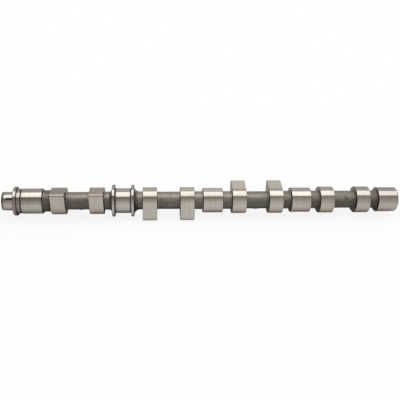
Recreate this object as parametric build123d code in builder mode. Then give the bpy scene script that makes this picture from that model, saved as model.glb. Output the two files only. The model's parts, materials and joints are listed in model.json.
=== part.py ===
"""Cast camshaft for a four-cylinder, sixteen-valve engine: one piece of chilled iron.

The X axis is the shaft's axis. X = 0 is the face of the front flange that the sprocket sits against,
the nose points along -X, and +Z is up. Angles round the shaft are measured from -Y towards +Z.
"""

import os
from math import acos, cos, degrees, radians, sin, tan

from build123d import *

os.makedirs("parts", exist_ok=True)

# Driving dimensions, in mm. Stations along the shaft are measured from the sprocket face.
bore_pitch = 93.0
seat_to_thrust = 110.65

# How far each pair of lobes stands to the rear of midway between the journals on either side of it
cylinder_offset = 0.35

# Nose: pilot spigot, sprocket flange and the land behind it
spigot_length = 11.8
spigot_radius = 9.65
spigot_lead = 1.9
spigot_lead_drop = 0.4
flange_width = 3.5
flange_radius = 14.9
flange_chamfer = 0.5
land_width = 3.35
land_radius = 12.75
seal_groove_width = 1.5
seal_groove_radius = 11.9

# Bearing journals
journal_radius = 13.0
journal_width = 20.6
journal_chamfer = 0.35
front_journal_width = 20.95
front_journal_chamfer = 0.6
rear_journal_lead = 10.15
rear_journal_width = 21.45
rear_chamfer = 1.2

# Thrust journal: a running surface between two flanges, with a grinding relief beside each. The flanges run
# out to their necks in fillets, which leave at least the face height flat below the rim.
thrust_running_width = 13.6
thrust_relief_width = 1.55
thrust_relief_depth = 0.25
thrust_flange_width = 2.95
thrust_flange_radius = 16.7
thrust_flange_chamfer = 0.45
thrust_front_root_fillet = 4.0
thrust_back_root_fillet = 6.0
thrust_face_height = 1.25

# Cam lobes: a base circle, two ramps that lead off it, two straight flanks and a small nose
base_radius = 13.9
ramp_radius = 30.0
ramp_span = 10.0
cam_reach = 21.3
cam_nose_radius = 2.3
lobe_width = 14.8
lobe_chamfer = 0.3
lobe_offset = 19.35

# Necks left as cast
front_neck_radius = 11.15
neck_radius = 9.4
span_radius = 9.05
span_crown = 0.1
neck_root_fillet = 0.8

# Angles of the lobes of cylinders 1 to 4, for a firing order of 1-3-4-2
first_lobe_angle = 46.0
firing_order = (1, 3, 4, 2)

# Key seat in the spigot, milled by a small disc cutter
key_width = 2.0
key_depth = 1.8
key_cutter_radius = 3.5
key_centre = 4.1
key_angle = first_lobe_angle

# Bolt hole in the nose and the lathe centre in the rear end
bolt_core_radius = 4.4
bolt_depth = 28.0
bolt_mouth_radius = 5.5
drill_tip_angle = 118.0
rear_centre_radius = 1.6
rear_centre_depth = 5.0
rear_centre_mouth_radius = 4.2
centre_cone_angle = 60.0

# Stations worked out from the driving dimensions
land_end = flange_width + land_width
front_journal_start = land_end + seal_groove_width
front_journal_end = front_journal_start + front_journal_width
thrust_half = thrust_running_width / 2 + thrust_relief_width + thrust_flange_width
thrust_start = seat_to_thrust - thrust_half
thrust_end = seat_to_thrust + thrust_half
third_journal_centre = seat_to_thrust + bore_pitch
fourth_journal_centre = seat_to_thrust + 2 * bore_pitch
rear_journal_start = seat_to_thrust + 3 * bore_pitch - rear_journal_lead
rear_end = rear_journal_start + rear_journal_width
thrust_flange_height = thrust_flange_radius - neck_radius
first_cylinder_centre = seat_to_thrust - bore_pitch / 2 + cylinder_offset
cylinder_centres = [first_cylinder_centre + number * bore_pitch for number in range(len(firing_order))]

# How near an edge must be to the station and radius it is looked up by
edge_tolerance = 0.01


def lobe_angle(cylinder):
    """The direction of a cylinder's two lobes: a quarter turn later for each place in the firing order."""
    return first_lobe_angle + 90.0 * firing_order.index(cylinder)


def turned(*corners):
    """A solid of revolution about X, from the corners of its outline as (station, radius)."""
    first, last = corners[0][0], corners[-1][0]
    with BuildSketch(Plane.XZ) as outline:
        with BuildLine():
            Polyline((first, 0), *corners, (last, 0), close=True)
        make_face()
    revolve(outline.sketch, axis=Axis.X)


def journal(start, end, radius, front_chamfer, back_chamfer):
    """A bearing journal with a chamfer at each end."""
    turned(
        (start, radius - front_chamfer),
        (start + front_chamfer, radius),
        (end - back_chamfer, radius),
        (end, radius - back_chamfer),
    )


def neck(start, end, radius, crown=0.0):
    """A cast neck between two larger parts of the shaft, with a slight crown where it is a long span."""
    middle = (start + end) / 2
    with BuildSketch(Plane.XZ) as outline:
        with BuildLine():
            Line((start, 0), (start, radius))
            if crown:
                ThreePointArc((start, radius), (middle, radius + crown), (end, radius))
            else:
                Line((start, radius), (end, radius))
            Polyline((end, radius), (end, 0), (start, 0))
        make_face()
    revolve(outline.sketch, axis=Axis.X)


def cone_length(mouth_radius, angle, tip_radius=0.0):
    """The depth of a cone of this full angle, from its mouth to its tip or to where it meets a bore."""
    return (mouth_radius - tip_radius) / tan(radians(angle / 2))


def root_edges(part, station, radius):
    """The circular edge where a neck of this radius meets the face at this station."""
    circles = part.edges().filter_by(GeomType.CIRCLE)
    near = circles.filter_by_position(Axis.X, station - edge_tolerance, station + edge_tolerance)
    return near.filter_by(lambda edge: abs(edge.radius - radius) < edge_tolerance)


def at_angle(radius, angle, centre=Vector(0, 0)):
    """The point of a circle at this angle, in degrees."""
    return centre + Vector(radius, 0).rotate(Axis.Z, angle)


# One cam lobe, centred on X = 0 with its nose along +Y. A ramp's arc touches the base circle and the flank.
nose_centre = Vector(cam_reach - cam_nose_radius, 0)
flank_distance = ramp_radius - (ramp_radius - base_radius) * cos(radians(ramp_span))
flank_angle = degrees(acos((flank_distance - cam_nose_radius) / nose_centre.X))
ramp_start_angle = flank_angle + ramp_span
ramp_centre = at_angle(base_radius - ramp_radius, ramp_start_angle)
ramp_start = at_angle(base_radius, ramp_start_angle)
ramp_middle = at_angle(ramp_radius, flank_angle + ramp_span / 2, ramp_centre)
ramp_end = at_angle(ramp_radius, flank_angle, ramp_centre)
flank_end = at_angle(cam_nose_radius, flank_angle, nose_centre)

with BuildPart() as lobe:
    with BuildSketch(Plane.YZ):
        with BuildLine():
            for side in (1, -1):
                ramp = [(point.X, side * point.Y) for point in (ramp_start, ramp_middle, ramp_end)]
                ThreePointArc(*ramp)
                Line(ramp[-1], (flank_end.X, side * flank_end.Y))
            ThreePointArc(ramp_start, (-base_radius, 0), (ramp_start.X, -ramp_start.Y))
            ThreePointArc(flank_end, (cam_reach, 0), (flank_end.X, -flank_end.Y))
        make_face()
    extrude(amount=lobe_width / 2, both=True)
    chamfer(lobe.faces().filter_by(Axis.X).edges(), lobe_chamfer)

# The key seat's cutter works in the plane of the shaft's axis and the key
key_direction = Vector(0, -cos(radians(key_angle)), sin(radians(key_angle)))
key_normal = Vector(1, 0, 0).cross(key_direction)
key_plane = Plane(origin=(-key_centre, 0, 0), x_dir=(1, 0, 0), z_dir=key_normal)

with BuildPart() as camshaft:
    # Pilot spigot, sprocket flange, land and seal groove
    turned(
        (-spigot_length, spigot_radius - spigot_lead_drop),
        (spigot_lead - spigot_length, spigot_radius),
        (0, spigot_radius),
    )
    journal(0, flange_width, flange_radius, flange_chamfer, flange_chamfer)
    turned((flange_width, land_radius), (land_end, land_radius))
    turned((land_end, seal_groove_radius), (front_journal_start, seal_groove_radius))

    # Front journal
    journal(front_journal_start, front_journal_end, journal_radius, journal_chamfer, front_journal_chamfer)

    # Thrust journal
    running_start = seat_to_thrust - thrust_running_width / 2
    running_end = seat_to_thrust + thrust_running_width / 2
    relief_radius = journal_radius - thrust_relief_depth
    turned((running_start, journal_radius), (running_end, journal_radius))
    turned(
        (running_start - thrust_relief_width, relief_radius),
        (running_end + thrust_relief_width, relief_radius),
    )
    journal(
        thrust_start,
        thrust_start + thrust_flange_width,
        thrust_flange_radius,
        thrust_flange_chamfer,
        thrust_flange_chamfer,
    )
    journal(
        thrust_end - thrust_flange_width,
        thrust_end,
        thrust_flange_radius,
        thrust_flange_chamfer,
        thrust_flange_chamfer,
    )

    # Third, fourth and rear journals
    for centre in (third_journal_centre, fourth_journal_centre):
        half = journal_width / 2
        journal(centre - half, centre + half, journal_radius, journal_chamfer, journal_chamfer)
    journal(rear_journal_start, rear_end, journal_radius, journal_chamfer, rear_chamfer)

    # Eight lobes, two to a cylinder
    for number, centre in enumerate(cylinder_centres, start=1):
        turn = 180.0 - lobe_angle(number)
        for side in (-1, 1):
            with Locations(Location((centre + side * lobe_offset, 0, 0), (turn, 0, 0))):
                add(lobe.part)

    # Necks: a crowned span between the two lobes of a cylinder, short necks beside the journals
    half_lobe = lobe_width / 2
    for centre in cylinder_centres:
        neck(
            centre - lobe_offset + half_lobe,
            centre + lobe_offset - half_lobe,
            span_radius,
            span_crown,
        )
    front_neck_end = cylinder_centres[0] - lobe_offset - half_lobe
    neck(front_journal_end, front_neck_end, front_neck_radius)
    last = len(cylinder_centres) - 1
    journal_faces = [
        (thrust_start, thrust_end),
        (third_journal_centre - journal_width / 2, third_journal_centre + journal_width / 2),
        (fourth_journal_centre - journal_width / 2, fourth_journal_centre + journal_width / 2),
        (rear_journal_start, rear_end),
    ]
    for number, (front_face, back_face) in enumerate(journal_faces):
        neck(cylinder_centres[number] + lobe_offset + half_lobe, front_face, neck_radius)
        if number < last:
            neck(back_face, cylinder_centres[number + 1] - lobe_offset - half_lobe, neck_radius)

    # The thrust flanges run out to their necks in large fillets
    largest_fillet = thrust_flange_height - thrust_face_height
    for station, radius in ((thrust_start, thrust_front_root_fillet), (thrust_end, thrust_back_root_fillet)):
        fillet(root_edges(camshaft, station, neck_radius), min(radius, largest_fillet))

    # Small fillets where the other necks meet lobes and journals
    small_roots = []
    for centre in cylinder_centres:
        for side in (-1, 1):
            inner = centre + side * (lobe_offset - half_lobe)
            small_roots += root_edges(camshaft, inner, span_radius)
            outer = centre + side * (lobe_offset + half_lobe)
            small_roots += root_edges(camshaft, outer, neck_radius)
            small_roots += root_edges(camshaft, outer, front_neck_radius)
    for station in (front_journal_end, *(face for pair in journal_faces[1:] for face in pair)):
        small_roots += root_edges(camshaft, station, neck_radius)
        small_roots += root_edges(camshaft, station, front_neck_radius)
    fillet(small_roots, neck_root_fillet)

    # Key seat in the spigot
    with BuildSketch(key_plane):
        with Locations((0, spigot_radius - key_depth + key_cutter_radius)):
            Circle(key_cutter_radius)
    extrude(amount=key_width / 2, both=True, mode=Mode.SUBTRACT)

    # Bolt hole in the nose: tapping core, drill tip and countersunk mouth
    with BuildSketch(Plane.XZ):
        with BuildLine():
            mouth = -spigot_length
            sink = cone_length(bolt_mouth_radius, centre_cone_angle, bolt_core_radius)
            Polyline(
                (mouth, 0),
                (mouth, bolt_mouth_radius),
                (mouth + sink, bolt_core_radius),
                (mouth + bolt_depth, bolt_core_radius),
                (mouth + bolt_depth + cone_length(bolt_core_radius, drill_tip_angle), 0),
                close=True,
            )
        make_face()
    revolve(axis=Axis.X, mode=Mode.SUBTRACT)

    # Lathe centre in the rear end
    with BuildSketch(Plane.XZ):
        with BuildLine():
            sink = cone_length(rear_centre_mouth_radius, centre_cone_angle, rear_centre_radius)
            bottom = rear_end - sink - rear_centre_depth
            Polyline(
                (rear_end, 0),
                (rear_end, rear_centre_mouth_radius),
                (rear_end - sink, rear_centre_radius),
                (bottom, rear_centre_radius),
                (bottom - cone_length(rear_centre_radius, drill_tip_angle), 0),
                close=True,
            )
        make_face()
    revolve(axis=Axis.X, mode=Mode.SUBTRACT)

camshaft.part.label = "camshaft"
export_step(camshaft.part, "parts/camshaft.step")
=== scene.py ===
"""Looks of the cast camshaft: one skin with ground journals and lobes, turned faces and as-cast necks.

Sizes are in millimetres until the mesh is made, and angles round the shaft run from -Y towards +Z.
"""

import json
import math

import bpy
from mathutils import Matrix, Vector, noise


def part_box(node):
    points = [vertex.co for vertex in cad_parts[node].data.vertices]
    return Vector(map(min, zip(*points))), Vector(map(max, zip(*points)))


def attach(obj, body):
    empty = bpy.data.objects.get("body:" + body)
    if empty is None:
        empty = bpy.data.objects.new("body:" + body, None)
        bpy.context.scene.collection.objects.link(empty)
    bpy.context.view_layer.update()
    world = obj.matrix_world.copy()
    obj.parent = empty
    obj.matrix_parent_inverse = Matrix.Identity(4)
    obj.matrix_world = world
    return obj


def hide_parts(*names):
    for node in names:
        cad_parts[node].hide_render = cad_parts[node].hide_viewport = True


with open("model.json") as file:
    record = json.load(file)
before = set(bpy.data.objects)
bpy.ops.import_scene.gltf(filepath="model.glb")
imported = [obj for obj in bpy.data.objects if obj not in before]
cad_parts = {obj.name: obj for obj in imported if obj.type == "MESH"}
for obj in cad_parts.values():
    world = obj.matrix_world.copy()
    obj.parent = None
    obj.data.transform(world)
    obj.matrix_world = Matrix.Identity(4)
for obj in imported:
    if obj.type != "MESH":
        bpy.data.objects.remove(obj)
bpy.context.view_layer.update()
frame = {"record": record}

MM = 0.001
MOUNTS = {mount["name"]: mount for mount in frame["record"]["mounts"]}


def station(name):
    """A mount's place along the shaft, in millimetres."""
    return MOUNTS[name]["pos_m"][0] / MM


# Places and sizes that the frame gives
LOW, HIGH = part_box("camshaft")
NOSE_END = LOW.x / MM
REAR_END = HIGH.x / MM
THRUST_CENTRE = station("thrust_journal")
BORE_PITCH = station("third_journal") - THRUST_CENTRE
JOURNAL_RADIUS = MOUNTS["rear_journal"]["dims"]["r_mm"]
SPIGOT_RADIUS = MOUNTS["sprocket_pilot"]["dims"]["r_mm"]
BOLT_CORE_RADIUS = MOUNTS["sprocket_bolt"]["dims"]["r_mm"]

# Nose, in mm
SPIGOT_LEAD = 1.9
SPIGOT_LEAD_DROP = 0.4
FLANGE_WIDTH = 3.5
FLANGE_RADIUS = 14.9
FLANGE_CHAMFER = 0.5
LAND_WIDTH = 3.35
LAND_RADIUS = 12.75
SEAL_GROOVE_WIDTH = 1.5
SEAL_GROOVE_RADIUS = 11.9

# Bolt hole and its thread, and the lathe centre in the rear end, in mm and degrees
BOLT_DEPTH = 28.0
BOLT_MOUTH_RADIUS = 5.5
BOLT_MAJOR_RADIUS = 5.0
THREAD_PITCH = 1.25
THREAD_START_GAP = 0.4
THREAD_END_GAP = 5.0
THREAD_RINGS_PER_TURN = 6
THREAD_FADE_RINGS = 4
REAR_CENTRE_RADIUS = 1.6
REAR_CENTRE_DEPTH = 5.0
REAR_CENTRE_MOUTH = 4.2
DRILL_TIP_ANGLE = 118.0
DRILL_TIP_RADIUS = 0.05
CENTRE_CONE_ANGLE = 60.0

# Journals, in mm
JOURNAL_WIDTH = 20.6
FRONT_JOURNAL_WIDTH = 20.95
JOURNAL_CHAMFER = 0.35
FRONT_JOURNAL_CHAMFER = 0.6
REAR_JOURNAL_LEAD = 10.15
REAR_CHAMFER = 1.2
RUNNING_WIDTH = 13.6
RELIEF_WIDTH = 1.55
RELIEF_DEPTH = 0.25
THRUST_FLANGE_WIDTH = 2.95
THRUST_FLANGE_RADIUS = 16.7
THRUST_FLANGE_CHAMFER = 0.45
THRUST_FRONT_FILLET = 4.0
THRUST_BACK_FILLET = 6.0
THRUST_HALF = RUNNING_WIDTH / 2 + RELIEF_WIDTH + THRUST_FLANGE_WIDTH
THRUST_START = THRUST_CENTRE - THRUST_HALF
THRUST_END = THRUST_CENTRE + THRUST_HALF

# Lobes, in mm. Each pair stands a little to the rear of midway between the journals beside it.
BASE_RADIUS = 13.9
RAMP_RADIUS = 30.0
RAMP_SPAN = math.radians(10.0)
CAM_REACH = 21.3
CAM_NOSE_RADIUS = 2.3
LOBE_WIDTH = 14.8
LOBE_CHAMFER = 0.3
LOBE_OFFSET = 19.35
LOBE_TIP_START = 20.2
FIRST_LOBE_ANGLE = 46.0
FIRING_ORDER = (1, 3, 4, 2)
CYLINDER_OFFSET = 0.35
CYLINDER_CENTRES = [THRUST_CENTRE + CYLINDER_OFFSET + (number - 0.5) * BORE_PITCH for number in range(4)]

# Necks left as cast, in mm. The skin of the casting fades away over the last part of a neck.
FRONT_NECK_RADIUS = 11.15
NECK_RADIUS = 9.4
SPAN_RADIUS = 9.05
SPAN_CROWN = 0.1
NECK_ROOT_FILLET = 0.8
FINE_CAST_DEPTH = 0.05
ROUGH_CAST_DEPTH = 0.16
CAST_FADE = 0.8

# Layers of the casting's skin, from long swells to grain: how fast the noise changes per mm, where in the
# noise the layer starts, and its share of the depth where the skin is fine and where it is rough
CAST_LAYERS = (
    (0.16, (0, 0, 0), 0.9, 0.9),
    (0.5, (7, 3, 1), 0.45, 1.3),
    (1.3, (1, 9, 4), 0.22, 0.9),
)

# Marks of the mould: low swellings under two spans, and a pit in the last one. Each has its place along the
# shaft in mm, its direction in degrees, its reach along (mm) and round (radians) and its height in mm.
CAST_MARKS = (
    (67.2, -58.0, 2.0, 0.30, 0.42),
    (249.4, -58.0, 2.6, 0.30, 0.42),
    (345.0, 35.0, 1.5, 0.13, -0.4),
)

# Past this station the mould's upper half stood a little proud, which left a step along the necks
MOULD_STEP_STATION = 305.0
MOULD_STEP_DIRECTION = 33.0
MOULD_STEP_WIDTH = 3.0
MOULD_STEP = 0.36

# Key seat in the spigot, in mm
KEY_WIDTH = 2.0
KEY_DEPTH = 1.8
KEY_CUTTER_RADIUS = 3.5
KEY_CUTTER_SEGMENTS = 48
KEY_CENTRE = 4.1

# How finely the skin is drawn: points round it, mm between rings, and the steps of a fillet, which has more
# from the large radius up. The points of a cam are shared out half by the length of its outline and half by
# how far the outline turns.
SEGMENTS = 160
CAST_RING_STEP = 0.6
GROUND_RING_STEP = 2.5
SMALL_FILLET_STEPS = 4
LARGE_FILLET_STEPS = 8
LARGE_FILLET = 2.0
CAM_LENGTH_SHARE = 0.5
SHARP_ANGLE = math.radians(28.0)
ANGLES = [2 * math.pi * index / SEGMENTS for index in range(SEGMENTS)]

# Order of the skin's material slots
GROUND_JOURNAL, GROUND_LOBE, LOBE_TIP, TURNED_RIM, TURNED, AS_CAST, KEY_SEAT = range(7)


def section_of(radius_at):
    """A section as (y, z), from a function that gives its radius at an angle."""
    points = []
    for angle in ANGLES:
        radius = radius_at(angle)
        points.append((-radius * math.cos(angle), radius * math.sin(angle)))
    return points


def circle(radius):
    return section_of(lambda angle: radius)


# A cam's flank touches the arc of its ramp and the arc of its nose. Angles are from the nose's direction.
FLANK_DISTANCE = RAMP_RADIUS - (RAMP_RADIUS - BASE_RADIUS) * math.cos(RAMP_SPAN)
FLANK_ANGLE = math.acos((FLANK_DISTANCE - CAM_NOSE_RADIUS) / (CAM_REACH - CAM_NOSE_RADIUS))
RAMP_START = FLANK_ANGLE + RAMP_SPAN
RAMP_CENTRE = (
    (BASE_RADIUS - RAMP_RADIUS) * math.cos(RAMP_START),
    (BASE_RADIUS - RAMP_RADIUS) * math.sin(RAMP_START),
)

# The arcs of a cam's outline in order: centre, radius, first angle and last angle
BASE_START = ((0, 0), BASE_RADIUS, -math.pi, -RAMP_START)
RAMP_UP = ((RAMP_CENTRE[0], -RAMP_CENTRE[1]), RAMP_RADIUS, -RAMP_START, -FLANK_ANGLE)
CAM_NOSE = ((CAM_REACH - CAM_NOSE_RADIUS, 0), CAM_NOSE_RADIUS, -FLANK_ANGLE, FLANK_ANGLE)
RAMP_DOWN = (RAMP_CENTRE, RAMP_RADIUS, FLANK_ANGLE, RAMP_START)
BASE_END = ((0, 0), BASE_RADIUS, RAMP_START, math.pi)

# The outline's stretches: an arc, or the flank from the end of one arc to the start of the next
CAM_STRETCHES = (
    (BASE_START, BASE_START),
    (RAMP_UP, RAMP_UP),
    (RAMP_UP, CAM_NOSE),
    (CAM_NOSE, CAM_NOSE),
    (CAM_NOSE, RAMP_DOWN),
    (RAMP_DOWN, RAMP_DOWN),
    (BASE_END, BASE_END),
)


def on_arc(arc, share, inset):
    """The point at this share of an arc, moved inwards by inset."""
    (along, across), radius, first, last = arc
    turn = first + share * (last - first)
    return along + (radius - inset) * math.cos(turn), across + (radius - inset) * math.sin(turn)


def on_stretch(first, second, share, inset=0.0):
    """The point at this share of a stretch of the cam outline."""
    if first is second:
        return on_arc(first, share, inset)
    start, end = on_arc(first, 1.0, inset), on_arc(second, 0.0, inset)
    return tuple(a + (b - a) * share for a, b in zip(start, end))


def cam_vertices():
    """Where the vertices of a cam outline lie: (arc, arc, share), closer together where it turns."""
    lengths, turns = [], []
    for first, second in CAM_STRETCHES:
        if first is second:
            turns.append(first[3] - first[2])
            lengths.append(first[1] * turns[-1])
        else:
            turns.append(0.0)
            lengths.append(math.dist(on_stretch(first, second, 0.0), on_stretch(first, second, 1.0)))
    weights = [
        CAM_LENGTH_SHARE * length / sum(lengths) + (1 - CAM_LENGTH_SHARE) * turn / (2 * math.pi)
        for length, turn in zip(lengths, turns)
    ]
    found = []
    for index in range(SEGMENTS):
        left = index / SEGMENTS
        for (first, second), weight in zip(CAM_STRETCHES, weights):
            if left <= weight or first is BASE_END:
                found.append((first, second, min(left / weight, 1.0)))
                break
            left -= weight
    return found


CAM_VERTICES = cam_vertices()


def cam(direction, inset=0.0):
    """Points of a cam section whose nose points at direction, in degrees, moved inwards by inset."""
    turn = math.radians(direction)
    points = []
    for first, second, share in CAM_VERTICES:
        along, across = on_stretch(first, second, share, inset)
        radial = along * math.cos(turn) - across * math.sin(turn)
        up = along * math.sin(turn) + across * math.cos(turn)
        points.append((-radial, up))
    shift = round(SEGMENTS * (direction + 180.0) / 360.0) % SEGMENTS
    return [points[(index - shift) % SEGMENTS] for index in range(SEGMENTS)]


def lobe_angle(cylinder):
    """The direction of a cylinder's two lobes: a quarter turn later for each place in the firing order."""
    return FIRST_LOBE_ANGLE + 90.0 * FIRING_ORDER.index(cylinder)


def round_section(radius):
    """A function that gives a circle of this radius, moved inwards by its inset."""
    return lambda inset: circle(radius - inset)


def cam_section(direction):
    """A function that gives a cam with its nose at this direction, moved inwards by its inset."""
    return lambda inset: cam(direction, inset)


class Skin:
    """A closed skin laid over rings of points along the shaft."""

    def __init__(self):
        self.rings = []
        self.finishes = []

    def ring(self, place, section, finish):
        """Adds a ring. The faces between it and the one before get the finish."""
        self.rings.append([(place, y, z) for y, z in section])
        self.finishes.append(finish)

    def round_ring(self, place, radius, finish):
        self.ring(place, circle(radius), finish)

    def mesh(self, name):
        """The rings as a mesh, with an end face on the first and on the last."""
        vertices = [point for ring in self.rings for point in ring]
        faces, slots = [], []
        for row in range(1, len(self.rings)):
            first, second = (row - 1) * SEGMENTS, row * SEGMENTS
            for index in range(SEGMENTS):
                after = (index + 1) % SEGMENTS
                faces.append((first + index, first + after, second + after, second + index))
                finish = self.finishes[row]
                if finish == GROUND_LOBE and math.hypot(*self.rings[row][index][1:]) > LOBE_TIP_START:
                    finish = LOBE_TIP
                slots.append(finish)
        faces.append(tuple(reversed(range(SEGMENTS))))
        slots.append(self.finishes[1])
        last = (len(self.rings) - 1) * SEGMENTS
        faces.append(tuple(range(last, last + SEGMENTS)))
        slots.append(self.finishes[-1])
        mesh = bpy.data.meshes.new(name)
        mesh.from_pydata([tuple(value * MM for value in point) for point in vertices], [], faces)
        mesh.polygons.foreach_set("material_index", slots)
        return mesh


def ground_stretch(skin, start, end, section, finish):
    """Rings over a ground surface from start to end. section(0) is its outline."""
    count = max(1, round((end - start) / GROUND_RING_STEP))
    for index in range(1, count + 1):
        skin.ring(start + (end - start) * index / count, section(0.0), finish)


def land(skin, start, end, section, finish, front_chamfer, back_chamfer):
    """A ground land with a side face and a chamfer at each end. section(inset) gives its outline."""
    skin.ring(start, section(front_chamfer), TURNED)
    skin.ring(start + front_chamfer, section(0.0), TURNED)
    ground_stretch(skin, start + front_chamfer, end - back_chamfer, section, finish)
    skin.ring(end, section(back_chamfer), TURNED)


def cast_bump(place, angle, depth):
    """The uneven height of a cast surface."""
    spot = Vector((place, NECK_RADIUS * math.cos(angle), NECK_RADIUS * math.sin(angle)))
    height = 0.0
    for rate, shift, fine, rough in CAST_LAYERS:
        height += noise.noise(spot * rate + Vector(shift)) * (rough if depth > FINE_CAST_DEPTH else fine)
    return height * depth


def turn_between(direction, angle):
    """How far an angle, in radians, lies past a direction in degrees: from -180 to 180 degrees."""
    return (math.degrees(angle) - direction + 180.0) % 360.0 - 180.0


def cast_mark(place, angle):
    """How far the mould's marks raise or lower a neck's surface."""
    height = 0.0
    for station_mm, direction, along, around, rise in CAST_MARKS:
        away = math.radians(turn_between(direction, angle))
        height += rise * math.exp(-((away / around) ** 2) - ((place - station_mm) / along) ** 2)
    if place > MOULD_STEP_STATION:
        past = turn_between(MOULD_STEP_DIRECTION, angle)
        near_side, far_side = past / MOULD_STEP_WIDTH, (180.0 - past) / MOULD_STEP_WIDTH
        height += MOULD_STEP * max(-0.5, min(0.5, near_side, far_side))
    return height


def neck(skin, start, end, radius, front_fillet, back_fillet, crown=0.0, depth=FINE_CAST_DEPTH):
    """A cast neck from one side face to the next, with a fillet at each end."""
    rings = []
    steps = SMALL_FILLET_STEPS if max(front_fillet, back_fillet) < LARGE_FILLET else LARGE_FILLET_STEPS
    for index in range(steps):
        turn = math.pi / 2 * index / steps
        rings.append((start + front_fillet * (1 - math.cos(turn)), front_fillet * (1 - math.sin(turn))))
    inner_start, inner_end = start + front_fillet, end - back_fillet
    count = max(2, round((inner_end - inner_start) / CAST_RING_STEP))
    for index in range(count + 1):
        rings.append((inner_start + (inner_end - inner_start) * index / count, 0.0))
    for index in range(1, steps + 1):
        turn = math.pi / 2 * index / steps
        rings.append((inner_end + back_fillet * math.sin(turn), back_fillet * (1 - math.cos(turn))))
    middle, half = (start + end) / 2, (end - start) / 2
    for number, (place, rise) in enumerate(rings):
        share = (place - middle) / half
        smooth = radius + rise + crown * (1 - share * share)
        fade = min(1.0, (1 - abs(share)) * half / CAST_FADE)

        def height(angle):
            return smooth + fade * (cast_bump(place, angle, depth) + cast_mark(place, angle))

        skin.ring(place, section_of(height), TURNED if number == 0 else AS_CAST)


def cone_depth(mouth_radius, angle, tip_radius):
    """The depth of a cone of this full angle, in degrees, from its mouth to its tip or its bore."""
    return (mouth_radius - tip_radius) / math.tan(math.radians(angle / 2))


def add_thread(skin, start, end):
    """The thread of the bolt hole, from its inner end to its outer one. It fades out at both."""
    step = THREAD_PITCH / THREAD_RINGS_PER_TURN
    count = int((end - start) / step)
    for number in range(count, -1, -1):
        place = start + number * step
        fade = min(1.0, number / THREAD_FADE_RINGS, (count - number) / THREAD_FADE_RINGS)

        def radius(angle):
            phase = (place / THREAD_PITCH + angle / (2 * math.pi)) % 1.0
            depth = 1 - abs(2 * phase - 1)
            return BOLT_CORE_RADIUS + fade * depth * (BOLT_MAJOR_RADIUS - BOLT_CORE_RADIUS)

        skin.ring(place, section_of(radius), TURNED)


def add_nose(skin):
    """Bolt hole with its thread, spigot, flange, land and seal groove, up to the front journal's face."""
    thread_mouth = NOSE_END + cone_depth(BOLT_MOUTH_RADIUS, CENTRE_CONE_ANGLE, BOLT_CORE_RADIUS)
    bottom = NOSE_END + BOLT_DEPTH
    tip = bottom + cone_depth(BOLT_CORE_RADIUS, DRILL_TIP_ANGLE, DRILL_TIP_RADIUS)
    skin.round_ring(tip, DRILL_TIP_RADIUS, TURNED)
    skin.round_ring(bottom, BOLT_CORE_RADIUS, TURNED)
    add_thread(skin, thread_mouth + THREAD_START_GAP, bottom - THREAD_END_GAP)
    skin.round_ring(thread_mouth, BOLT_CORE_RADIUS, TURNED)
    skin.round_ring(NOSE_END, BOLT_MOUTH_RADIUS, TURNED)
    skin.round_ring(NOSE_END, SPIGOT_RADIUS - SPIGOT_LEAD_DROP, TURNED)
    skin.round_ring(NOSE_END + SPIGOT_LEAD, SPIGOT_RADIUS, TURNED)
    ground_stretch(skin, NOSE_END + SPIGOT_LEAD, 0.0, round_section(SPIGOT_RADIUS), GROUND_JOURNAL)
    flange = round_section(FLANGE_RADIUS)
    land(skin, 0.0, FLANGE_WIDTH, flange, TURNED_RIM, FLANGE_CHAMFER, FLANGE_CHAMFER)
    land_end = FLANGE_WIDTH + LAND_WIDTH
    skin.round_ring(FLANGE_WIDTH, LAND_RADIUS, TURNED)
    skin.round_ring(land_end, LAND_RADIUS, TURNED_RIM)
    skin.round_ring(land_end, SEAL_GROOVE_RADIUS, TURNED)
    skin.round_ring(land_end + SEAL_GROOVE_WIDTH, SEAL_GROOVE_RADIUS, TURNED)
    return land_end + SEAL_GROOVE_WIDTH


def add_thrust_journal(skin):
    """The journal between two flanges, with a relief beside each flange."""
    running_start, running_end = THRUST_CENTRE - RUNNING_WIDTH / 2, THRUST_CENTRE + RUNNING_WIDTH / 2
    front_face, back_face = THRUST_START + THRUST_FLANGE_WIDTH, THRUST_END - THRUST_FLANGE_WIDTH
    relief = JOURNAL_RADIUS - RELIEF_DEPTH
    flange = round_section(THRUST_FLANGE_RADIUS)
    chamfer = THRUST_FLANGE_CHAMFER
    land(skin, THRUST_START, front_face, flange, GROUND_JOURNAL, chamfer, chamfer)
    skin.round_ring(front_face, relief, TURNED)
    skin.round_ring(running_start, relief, TURNED)
    skin.round_ring(running_start, JOURNAL_RADIUS, TURNED)
    ground_stretch(skin, running_start, running_end, round_section(JOURNAL_RADIUS), GROUND_JOURNAL)
    skin.round_ring(running_end, relief, TURNED)
    skin.round_ring(back_face, relief, TURNED)
    land(skin, back_face, THRUST_END, flange, GROUND_JOURNAL, chamfer, chamfer)


def add_cylinder(
    skin,
    number,
    before,
    after,
    before_radius=NECK_RADIUS,
    before_depth=FINE_CAST_DEPTH,
    before_fillet=NECK_ROOT_FILLET,
    after_fillet=NECK_ROOT_FILLET,
):
    """A cylinder's two lobes with their span, a neck before them and one after, from face to face."""
    centre = CYLINDER_CENTRES[number - 1]
    section = cam_section(lobe_angle(number))
    half, root = LOBE_WIDTH / 2, NECK_ROOT_FILLET
    first, second = centre - LOBE_OFFSET, centre + LOBE_OFFSET
    neck(skin, before, first - half, before_radius, before_fillet, root, depth=before_depth)
    land(skin, first - half, first + half, section, GROUND_LOBE, LOBE_CHAMFER, LOBE_CHAMFER)
    neck(skin, first + half, second - half, SPAN_RADIUS, root, root, crown=SPAN_CROWN)
    land(skin, second - half, second + half, section, GROUND_LOBE, LOBE_CHAMFER, LOBE_CHAMFER)
    neck(skin, second + half, after, NECK_RADIUS, root, after_fillet)


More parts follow.
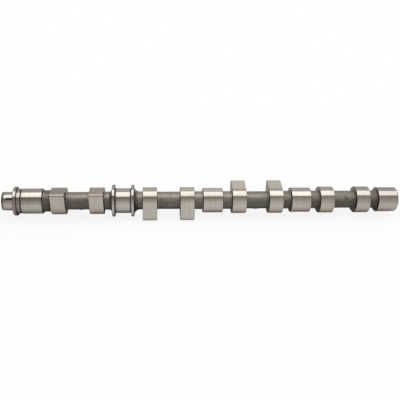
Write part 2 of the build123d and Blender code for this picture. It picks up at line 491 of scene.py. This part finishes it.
def add_rear_centre(skin):
    """The rear end face with its lathe centre."""
    bore_start = REAR_END - cone_depth(REAR_CENTRE_MOUTH, CENTRE_CONE_ANGLE, REAR_CENTRE_RADIUS)
    bottom = bore_start - REAR_CENTRE_DEPTH
    tip = bottom - cone_depth(REAR_CENTRE_RADIUS, DRILL_TIP_ANGLE, DRILL_TIP_RADIUS)
    skin.round_ring(REAR_END, REAR_CENTRE_MOUTH, TURNED)
    skin.round_ring(bore_start, REAR_CENTRE_RADIUS, TURNED)
    skin.round_ring(bottom, REAR_CENTRE_RADIUS, TURNED)
    skin.round_ring(tip, DRILL_TIP_RADIUS, TURNED)


def make_skin():
    """The whole shaft but for the key seat, from the bottom of the bolt hole to that of the lathe centre."""
    skin = Skin()
    journal = round_section(JOURNAL_RADIUS)
    half = JOURNAL_WIDTH / 2
    third, fourth = THRUST_CENTRE + BORE_PITCH, THRUST_CENTRE + 2 * BORE_PITCH
    rear_start = THRUST_CENTRE + 3 * BORE_PITCH - REAR_JOURNAL_LEAD

    front_start = add_nose(skin)
    front_end = front_start + FRONT_JOURNAL_WIDTH
    land(skin, front_start, front_end, journal, GROUND_JOURNAL, JOURNAL_CHAMFER, FRONT_JOURNAL_CHAMFER)
    add_cylinder(
        skin,
        1,
        front_end,
        THRUST_START,
        before_radius=FRONT_NECK_RADIUS,
        before_depth=ROUGH_CAST_DEPTH,
        after_fillet=THRUST_FRONT_FILLET,
    )
    add_thrust_journal(skin)
    add_cylinder(skin, 2, THRUST_END, third - half, before_fillet=THRUST_BACK_FILLET)
    land(skin, third - half, third + half, journal, GROUND_JOURNAL, JOURNAL_CHAMFER, JOURNAL_CHAMFER)
    add_cylinder(skin, 3, third + half, fourth - half)
    land(skin, fourth - half, fourth + half, journal, GROUND_JOURNAL, JOURNAL_CHAMFER, JOURNAL_CHAMFER)
    add_cylinder(skin, 4, fourth + half, rear_start)
    land(skin, rear_start, REAR_END, journal, GROUND_JOURNAL, JOURNAL_CHAMFER, REAR_CHAMFER)
    add_rear_centre(skin)
    return skin.mesh("camshaft_skin")


def cut_key_seat(shaft):
    """Mills the key seat into the spigot with a disc-shaped cutter."""
    direction = math.radians(FIRST_LOBE_ANGLE)
    along = Vector((1, 0, 0))
    outward = Vector((0, -math.cos(direction), math.sin(direction)))
    across = along.cross(outward)
    centre = Vector((-KEY_CENTRE, 0, 0)) + outward * (SPIGOT_RADIUS - KEY_DEPTH + KEY_CUTTER_RADIUS)
    count = KEY_CUTTER_SEGMENTS
    vertices, faces = [], []
    for side in (-0.5, 0.5):
        for index in range(count):
            turn = 2 * math.pi * index / count
            spoke = along * math.cos(turn) + outward * math.sin(turn)
            vertices.append((centre + spoke * KEY_CUTTER_RADIUS + across * side * KEY_WIDTH) * MM)
    faces.append(tuple(reversed(range(count))))
    faces.append(tuple(range(count, 2 * count)))
    for index in range(count):
        after = (index + 1) % count
        faces.append((index, after, count + after, count + index))
    mesh = bpy.data.meshes.new("key_cutter")
    mesh.from_pydata(vertices, [], faces)
    for material in shaft.data.materials:
        mesh.materials.append(material)
    mesh.polygons.foreach_set("material_index", [KEY_SEAT] * len(mesh.polygons))
    cutter = bpy.data.objects.new("key_cutter", mesh)
    bpy.context.scene.collection.objects.link(cutter)
    modifier = shaft.modifiers.new("key_seat", "BOOLEAN")
    modifier.operation = "DIFFERENCE"
    modifier.solver = "EXACT"
    modifier.object = cutter
    bpy.context.view_layer.update()
    cut = bpy.data.meshes.new_from_object(shaft.evaluated_get(bpy.context.evaluated_depsgraph_get()))
    shaft.modifiers.clear()
    shaft.data = cut
    bpy.data.objects.remove(cutter)


class Nodes:
    """A short way to write a node tree. Where a method takes a value, that is a number or a socket."""

    def __init__(self, tree):
        self.tree = tree

    def add(self, kind, **settings):
        node = self.tree.nodes.new(kind)
        for name, value in settings.items():
            setattr(node, name, value)
        return node

    def put(self, value, socket):
        if isinstance(value, bpy.types.NodeSocket):
            self.tree.links.new(value, socket)
        else:
            socket.default_value = value

    def split(self, vector):
        """The three parts of a vector, by the names X, Y and Z."""
        node = self.add("ShaderNodeSeparateXYZ")
        self.put(vector, node.inputs[0])
        return node.outputs

    def calculate(self, operation, *values):
        node = self.add("ShaderNodeMath", operation=operation)
        for value, socket in zip(values, node.inputs):
            self.put(value, socket)
        return node.outputs[0]

    def spread(self, value, low, high, from_low=0.25, from_high=0.75, **settings):
        """Low where the value is at from_low or less, high where it is at from_high or more."""
        node = self.add("ShaderNodeMapRange", **settings)
        self.put(value, node.inputs["Value"])
        self.put(from_low, node.inputs["From Min"])
        self.put(from_high, node.inputs["From Max"])
        self.put(low, node.inputs["To Min"])
        self.put(high, node.inputs["To Max"])
        return node.outputs["Result"]

    def blend(self, data_type, share, first, second):
        """Goes from the first to the second as the share goes from 0 to 1."""
        node = self.add("ShaderNodeMix", data_type=data_type)
        self.put(share, node.inputs["Factor"])
        self.put(first, node.inputs["A"])
        self.put(second, node.inputs["B"])
        return node.outputs["Result"]

    def blend_shaders(self, share, first, second):
        node = self.add("ShaderNodeMixShader")
        for value, socket in zip((share, first, second), node.inputs):
            self.put(value, socket)
        return node.outputs[0]

    def through_stops(self, value, stops):
        """A number that follows a value through stops, each of them a value from 0 to 1 and its number."""
        ramp = self.add("ShaderNodeValToRGB")
        elements = ramp.color_ramp.elements
        while len(elements) < len(stops):
            elements.new(1.0)
        for element, (place, number) in zip(elements, stops):
            element.position = place
            element.color = (number, number, number, 1)
        self.put(value, ramp.inputs["Fac"])
        return ramp.outputs["Color"]


class Finish(Nodes):
    """A material with one shader. Noise and places follow the object's own coordinates, in metres."""

    def __init__(self, name, metallic):
        self.material = bpy.data.materials.new(name)
        self.material.use_nodes = True
        super().__init__(self.material.node_tree)
        self.inputs = self.tree.nodes["Principled BSDF"].inputs
        self.inputs["Metallic"].default_value = metallic
        self.place = self.add("ShaderNodeTexCoord").outputs["Object"]

    def noise(self, scale, detail=3.0, roughness=0.55, stretch=(1, 1, 1), shift=(0, 0, 0)):
        """Noise that is drawn out along an axis where the stretch is small."""
        mapping = self.add("ShaderNodeMapping")
        self.put(self.place, mapping.inputs["Vector"])
        self.put(stretch, mapping.inputs["Scale"])
        self.put(shift, mapping.inputs["Location"])
        texture = self.add("ShaderNodeTexNoise")
        self.put(mapping.outputs["Vector"], texture.inputs["Vector"])
        self.put(scale, texture.inputs["Scale"])
        self.put(detail, texture.inputs["Detail"])
        self.put(roughness, texture.inputs["Roughness"])
        return texture.outputs["Fac"]

    def rings(self, scale):
        """Noise that depends only on the distance from the shaft's axis."""
        across = self.add("ShaderNodeVectorMath", operation="MULTIPLY")
        self.put(self.place, across.inputs[0])
        self.put((0, 1, 1), across.inputs[1])
        radius = self.add("ShaderNodeVectorMath", operation="LENGTH")
        self.put(across.outputs[0], radius.inputs[0])
        texture = self.add("ShaderNodeTexNoise", noise_dimensions="1D")
        self.put(radius.outputs["Value"], texture.inputs["W"])
        self.put(scale, texture.inputs["Scale"])
        return texture.outputs["Fac"]

    def blotches(self, first, second, first_share, dark, light):
        """A colour between dark and light that follows two noises, each with its share."""
        first_part = self.spread(first, 0.0, first_share)
        second_part = self.spread(second, 0.0, 1 - first_share)
        return self.blend_colour(self.calculate("ADD", first_part, second_part), dark, light)

    def blend_colour(self, value, dark, light):
        return self.blend("RGBA", value, (*dark, 1), (*light, 1))

    def scale(self, colour, share):
        node = self.add("ShaderNodeVectorMath", operation="SCALE")
        self.put(colour, node.inputs[0])
        self.put(share, node.inputs["Scale"])
        return node.outputs[0]

    def shade(self, colour, axis, start, end, before, after):
        """Scales a colour by one share up to start and by another past end, in mm along an axis."""
        along = self.split(self.place)[axis]
        return self.scale(colour, self.spread(along, before, after, start * MM, end * MM))

    def paint_shade_round(self, colour, centre, reach, share):
        """Darkens a colour to this share of itself round a centre, in mm: painted shade."""
        distance = self.add("ShaderNodeVectorMath", operation="DISTANCE")
        self.put(self.place, distance.inputs[0])
        self.put([value * MM for value in centre], distance.inputs[1])
        reach *= MM
        return self.scale(colour, self.spread(distance.outputs["Value"], share, 1.0, reach / 2, reach))

    def bump(self, height, strength, depth, normal=None):
        """Raises the surface by a height, at most by this depth in mm."""
        node = self.add("ShaderNodeBump")
        self.put(height, node.inputs["Height"])
        self.put(strength, node.inputs["Strength"])
        self.put(depth * MM, node.inputs["Distance"])
        if normal is not None:
            self.put(normal, node.inputs["Normal"])
        return node.outputs["Normal"]

    def finish(self, colour, roughness, normal=None):
        self.put(colour, self.inputs["Base Color"])
        self.put(roughness, self.inputs["Roughness"])
        if normal is not None:
            self.put(normal, self.inputs["Normal"])
        return self.material


# The marks of grinding run round the shaft, so their noise changes fast along X only. It changes this many
# times in a metre along each axis, in the fine lines and in the broader bands.
GRINDING_LINES = (2600, 26, 26)
GRINDING_BANDS = (430, 3, 3)
BAND_LIMITS = (0.36, 0.64)

# Heights in mm between which the underside of a rim gets darker: painted shade
RIM_PAINTED_SHADE_HEIGHTS = (3.0, 8.0)

# Roughness of the turned and the cast surfaces, and how much of their colour the first of two noises sets
TURNED_ROUGHNESS = (0.30, 0.46)
CAST_ROUGHNESS = (0.32, 0.46)
PATCH_SHARE = 0.6


def ground_material(name, dark, light, roughness, line_strength, streaks=0.6, underside_shade=None):
    """Ground iron: bright, with fine lines that run round the shaft and broader, paler and darker bands."""
    iron = Finish(name, metallic=1.0)
    lines = iron.noise(1.0, detail=4.0, roughness=0.7, stretch=GRINDING_LINES)
    bands = iron.noise(1.0, detail=2.0, stretch=GRINDING_BANDS, shift=(3, 0, 0))
    stain = iron.noise(70.0, shift=(0, 5, 0))
    band_part = iron.spread(bands, 0.0, streaks, *BAND_LIMITS)
    stain_part = iron.spread(stain, 0.0, 1 - streaks)
    colour = iron.blend_colour(iron.calculate("ADD", band_part, stain_part), dark, light)
    # Painted shade: a rim's underside is darker
    if underside_shade:
        colour = iron.shade(colour, "Z", *RIM_PAINTED_SHADE_HEIGHTS, underside_shade, 1.0)
    normal = iron.bump(lines, line_strength, depth=0.02)
    return iron.finish(colour, iron.spread(lines, *roughness), normal)


def turned_material():
    """Turned faces, darker than the ground ones, with rings left by the tool."""
    iron = Finish("turned_iron", metallic=1.0)
    grain = iron.noise(900.0, detail=4.0)
    patches = iron.noise(110.0, shift=(1, 2, 3))
    rings = iron.rings(1800.0)
    dark, light = (0.10, 0.094, 0.083), (0.17, 0.159, 0.142)
    colour = iron.blotches(patches, rings, PATCH_SHARE, dark, light)
    grainy = iron.bump(grain, strength=0.25, depth=0.05)
    normal = iron.bump(rings, strength=0.35, depth=0.05, normal=grainy)
    return iron.finish(colour, iron.spread(grain, *TURNED_ROUGHNESS), normal)


# How the casting's tone changes: the axis, where the change starts and ends in mm, and the colour's share
# before and after it. The first is painted shade on all undersides. The second and third set the front
# neck's tone and leave a darker strip at the foot of the first lobe, which is painted shade. The others set
# the tone of one neck or of a few.
CAST_TONES_AND_PAINTED_SHADE = (
    # Painted shade: darker on all undersides
    ("Z", 2.6, 5.6, 0.49, 1.0),
    # This and the next: the front neck's tone, with a strip of painted shade at the foot of the first lobe
    ("X", 34.8, 36.0, 1.75, 1.0),
    ("X", 37.8, 40.0, 0.42, 1.0),
    ("X", 118.0, 126.0, 1.0, 1.12),
    ("X", 238.0, 246.0, 1.0, 0.90),
    ("X", 315.0, 330.0, 1.0, 1.15),
    ("X", 360.0, 368.0, 1.0, 0.76),
)

# Painted shade darkens the colour round the pit. The pit is the last of the mould's marks.
PIT_STATION, PIT_DIRECTION = CAST_MARKS[-1][:2]
PIT_SHADE_REACH = 2.4
PIT_SHADE_SHARE = 0.62

# Past these stations, in mm, the casting is duller
DULL_STATIONS = (270.0, 278.0)
DULLING = 0.22


def cast_material():
    """Iron as it left the mould: dark, mottled and slightly grainy."""
    iron = Finish("as_cast_iron", metallic=0.75)
    grain = iron.noise(1400.0, detail=5.0, roughness=0.65)
    mottle = iron.noise(260.0, detail=4.0, shift=(4, 0, 2))
    clouds = iron.noise(85.0, detail=2.0, shift=(0, 3, 6))
    dark, light = (0.15, 0.137, 0.119), (0.31, 0.285, 0.253)
    colour = iron.blotches(mottle, clouds, PATCH_SHARE, dark, light)
    # The casting's tones, with painted shade on the undersides and at the foot of the first lobe
    for tone in CAST_TONES_AND_PAINTED_SHADE:
        colour = iron.shade(colour, *tone)
    # Painted shade in and round the pit
    pit = math.radians(PIT_DIRECTION)
    pit_centre = (PIT_STATION, -SPAN_RADIUS * math.cos(pit), SPAN_RADIUS * math.sin(pit))
    colour = iron.paint_shade_round(colour, pit_centre, PIT_SHADE_REACH, PIT_SHADE_SHARE)
    dull_start, dull_end = DULL_STATIONS
    dulled = iron.spread(iron.split(iron.place)["X"], 0.0, DULLING, dull_start * MM, dull_end * MM)
    roughness = iron.calculate("ADD", iron.spread(grain, *CAST_ROUGHNESS), dulled)
    return iron.finish(colour, roughness, iron.bump(grain, strength=0.5, depth=0.12))


def key_seat_material():
    """The milled seat, near black: painted shade in its hollow."""
    shaded_seat = Finish("key_seat_painted_shade", metallic=0.6)
    colour = shaded_seat.blend_colour(shaded_seat.noise(500.0), dark=(0.03, 0.027, 0.022), light=(0.06, 0.053, 0.045))
    return shaded_seat.finish(colour, roughness=0.45)


def make_shaft():
    """The shaft, with its materials in the order of the slots."""
    shaft = bpy.data.objects.new("camshaft_skin", make_skin())
    bpy.context.scene.collection.objects.link(shaft)
    materials = (
        ground_material(
            "ground_journal",
            dark=(0.395, 0.372, 0.348),
            light=(0.475, 0.45, 0.42),
            roughness=(0.10, 0.17),
            line_strength=0.06,
        ),
        ground_material(
            "ground_lobe",
            dark=(0.405, 0.380, 0.341),
            light=(0.485, 0.455, 0.412),
            roughness=(0.12, 0.20),
            line_strength=0.08,
        ),
        ground_material(
            "lobe_tip",
            dark=(0.38, 0.355, 0.32),
            light=(0.44, 0.415, 0.375),
            roughness=(0.34, 0.42),
            line_strength=0.16,
        ),
        ground_material(
            "turned_rim",
            dark=(0.34, 0.32, 0.295),
            light=(0.46, 0.435, 0.405),
            roughness=(0.14, 0.22),
            line_strength=0.5,
            # The rim's underside is darker: painted shade
            underside_shade=0.6,
        ),
        turned_material(),
        cast_material(),
        key_seat_material(),
    )
    for material in materials:
        shaft.data.materials.append(material)
    cut_key_seat(shaft)
    shaft.data.shade_smooth()
    shaft.data.set_sharp_from_angle(angle=SHARP_ANGLE)
    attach(shaft, "root")
    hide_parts("camshaft")


# Camera, worked out from the photograph: the shaft's nose is nearer the camera than its rear end
CAMERA_ELEVATION = math.radians(32.1)
CAMERA_DISTANCE = 0.620
CAMERA_STATION = 0.1421
CAMERA_LIFT = 0.00014
CAMERA_YAW = math.radians(4.477)
CAMERA_ROLL = math.radians(0.305)
CAMERA_CLIP = 0.01
FOCAL_PIXELS = 590.9
PHOTO_PIXELS = 400
SENSOR_WIDTH = 36.0


def make_camera():
    data = bpy.data.cameras.new("camera")
    data.sensor_width = SENSOR_WIDTH
    data.lens = SENSOR_WIDTH * FOCAL_PIXELS / PHOTO_PIXELS
    data.clip_start = CAMERA_CLIP
    camera = bpy.data.objects.new("camera", data)
    bpy.context.scene.collection.objects.link(camera)
    away = Vector((0, math.cos(CAMERA_ELEVATION), -math.sin(CAMERA_ELEVATION)))
    above = Vector((0, math.sin(CAMERA_ELEVATION), math.cos(CAMERA_ELEVATION)))
    forward = Vector((1, 0, 0)) * math.sin(CAMERA_YAW) + away * math.cos(CAMERA_YAW)
    right = forward.cross(above)
    turned_right = right * math.cos(CAMERA_ROLL) - above * math.sin(CAMERA_ROLL)
    turned_up = right * math.sin(CAMERA_ROLL) + above * math.cos(CAMERA_ROLL)
    turn = Matrix((turned_right, turned_up, -forward)).transposed()
    place = Vector((CAMERA_STATION, 0, CAMERA_LIFT)) - away * CAMERA_DISTANCE
    camera.matrix_world = Matrix.Translation(place) @ turn.to_4x4()
    bpy.context.scene.camera = camera


# The table, in metres. The shadow's share of what the camera sees fades out over its reach from the shaft.
# In mirrors the table glows, more in the middle of the shaft than at its ends, but not right under it.
FLOOR_SIZE = 8.0
WHITE = (1, 1, 1, 1)
PAPER_COLOUR = (0.90, 0.88, 0.86, 1)
SHADOW_SHARE = 0.13
SHADOW_REACH = (0.10, 0.32)
TABLE_GLOW = (0.86, 0.38)
GLOW_CENTRE = 0.185
GLOW_SPREAD = (0.06, 0.16)
GLOW_REACH = (0.010, 0.034)

# The softbox over the shaft, in metres and watts, and its strength at shares of its length
SOFTBOX_HEIGHT = 0.60
SOFTBOX_FRONT = -0.248
SOFTBOX_BACK = 0.276
SOFTBOX_LENGTH = 1.04
SOFTBOX_CENTRE = 0.26
SOFTBOX_POWER = 3.16
SOFTBOX_COLOUR = (1.0, 0.975, 0.955)
SOFTBOX_SHARES = (
    (0.0, 1.0),
    (0.31, 0.97),
    (0.42, 0.84),
    (0.53, 0.79),
    (0.61, 0.96),
    (0.70, 0.98),
    (0.80, 0.78),
    (1.0, 0.80),
)

# The room, by the direction of the view of it, from -1 to 1 along each axis. Behind the shaft, the wall's
# strength follows the view's height through these stops.
WALL_SHARES = (
    (0.0, 0.78),
    (0.42, 0.78),
    (0.52, 0.97),
    (0.60, 1.20),
    (0.70, 1.20),
    (0.76, 0.82),
    (1.0, 0.80),
)

# Other changes in the room: the strength or share at the start and at the end, and where those are
FRONT_BY_HEIGHT = (1.06, 0.38, 0.15, 0.85)
FRONT_TO_THE_RIGHT = (0.0, 0.3, 0.1, 0.4)
FROM_FRONT_TO_WALL = (0.0, 1.0, -0.25, 0.25)
LEFT_SIDE = (0.60, 1.0, -0.25, 0.08)
FAR_LEFT = (0.45, 1.0, -0.85, -0.45)
RIGHT_SIDE_LOSS = (0.0, 0.38, 0.10, 0.40)
FRONT_TINT = (1.0, 0.93, 0.85, 1)
WALL_TINT = (1.0, 0.965, 0.92, 1)


def table_material():
    """White to the camera, with a soft shadow near the shaft. Other rays see paper that glows in mirrors."""
    material = bpy.data.materials.new("white_table")
    material.use_nodes = True
    nodes = Nodes(material.node_tree)
    nodes.tree.nodes.remove(nodes.tree.nodes["Principled BSDF"])
    paper = nodes.add("ShaderNodeBsdfDiffuse")
    paper.inputs["Color"].default_value = PAPER_COLOUR
    shadow = nodes.add("ShaderNodeBsdfDiffuse")
    shadow.inputs["Color"].default_value = WHITE
    white = nodes.add("ShaderNodeEmission")
    path = nodes.add("ShaderNodeLightPath").outputs
    place = nodes.split(nodes.add("ShaderNodeTexCoord").outputs["Object"])

    across = nodes.calculate("ABSOLUTE", place["Y"])
    along = nodes.calculate("ABSOLUTE", nodes.calculate("SUBTRACT", place["X"], (LOW.x + HIGH.x) / 2))
    past_end = nodes.calculate("SUBTRACT", along, (HIGH.x - LOW.x) / 2)
    away = nodes.calculate("MAXIMUM", across, past_end)
    white_share = nodes.spread(away, 1 - SHADOW_SHARE, 1.0, *SHADOW_REACH, interpolation_type="SMOOTHSTEP")
    seen = nodes.blend_shaders(white_share, shadow.outputs[0], white.outputs[0])

    from_centre = nodes.calculate("ABSOLUTE", nodes.calculate("SUBTRACT", place["X"], GLOW_CENTRE))
    brightest = nodes.spread(from_centre, *TABLE_GLOW, *GLOW_SPREAD)
    clear_of_shaft = nodes.spread(across, 0.0, brightest, *GLOW_REACH)
    glow = nodes.calculate("MULTIPLY", path["Is Glossy Ray"], clear_of_shaft)
    mirrored = nodes.blend_shaders(glow, paper.outputs[0], white.outputs[0])

    surface = nodes.blend_shaders(path["Is Camera Ray"], mirrored, seen)
    nodes.put(surface, nodes.tree.nodes["Material Output"].inputs["Surface"])
    return material


def make_floor():
    """A white table that the shaft lies on."""
    half = FLOOR_SIZE / 2
    corners = [(-half, -half), (half, -half), (half, half), (-half, half)]
    mesh = bpy.data.meshes.new("table")
    mesh.from_pydata([(x, y, LOW.z) for x, y in corners], [], [(0, 1, 2, 3)])
    mesh.materials.append(table_material())
    table = bpy.data.objects.new("table", mesh)
    bpy.context.scene.collection.objects.link(table)


def make_softbox():
    """The only lamp: a long softbox over the shaft, uneven along its length."""
    data = bpy.data.lights.new("softbox", "AREA")
    data.shape = "RECTANGLE"
    data.size = SOFTBOX_LENGTH
    data.size_y = SOFTBOX_BACK - SOFTBOX_FRONT
    data.energy = SOFTBOX_POWER
    data.color = SOFTBOX_COLOUR
    data.use_nodes = True
    nodes = Nodes(data.node_tree)
    along = nodes.split(nodes.add("ShaderNodeNewGeometry").outputs["Parametric"])["X"]
    nodes.put(nodes.through_stops(along, SOFTBOX_SHARES), nodes.tree.nodes["Emission"].inputs["Strength"])
    light = bpy.data.objects.new("softbox", data)
    light.location = (SOFTBOX_CENTRE, (SOFTBOX_FRONT + SOFTBOX_BACK) / 2, SOFTBOX_HEIGHT)
    bpy.context.scene.collection.objects.link(light)


def make_world():
    """The room: dark above the camera, paler near the table and behind the shaft. The camera sees white."""
    world = bpy.data.worlds.new("room")
    bpy.context.scene.world = world
    world.use_nodes = True
    nodes = Nodes(world.node_tree)
    room = nodes.tree.nodes["Background"]
    view = nodes.split(nodes.add("ShaderNodeTexCoord").outputs["Generated"])

    to_the_right = nodes.calculate("MULTIPLY", nodes.spread(view["X"], *FRONT_TO_THE_RIGHT), view["Z"])
    front = nodes.calculate("ADD", nodes.spread(view["Z"], *FRONT_BY_HEIGHT), to_the_right)
    behind = nodes.spread(view["Y"], *FROM_FRONT_TO_WALL)
    strength = nodes.blend("FLOAT", behind, front, nodes.through_stops(view["Z"], WALL_SHARES))
    left = nodes.spread(view["X"], *LEFT_SIDE)
    side = nodes.calculate("SUBTRACT", left, nodes.spread(view["X"], *RIGHT_SIDE_LOSS))
    side = nodes.calculate("MULTIPLY", side, nodes.spread(view["X"], *FAR_LEFT))
    nodes.put(nodes.calculate("MULTIPLY", strength, side), room.inputs["Strength"])
    nodes.put(nodes.blend("RGBA", behind, FRONT_TINT, WALL_TINT), room.inputs["Color"])

    white = nodes.add("ShaderNodeBackground")
    white.inputs["Color"].default_value = WHITE
    is_camera = nodes.add("ShaderNodeLightPath").outputs["Is Camera Ray"]
    seen = nodes.blend_shaders(is_camera, room.outputs[0], white.outputs[0])
    nodes.put(seen, nodes.tree.nodes["World Output"].inputs["Surface"])


make_shaft()
make_floor()
make_softbox()
make_world()
make_camera()
bpy.context.scene.view_settings.view_transform = "Standard"
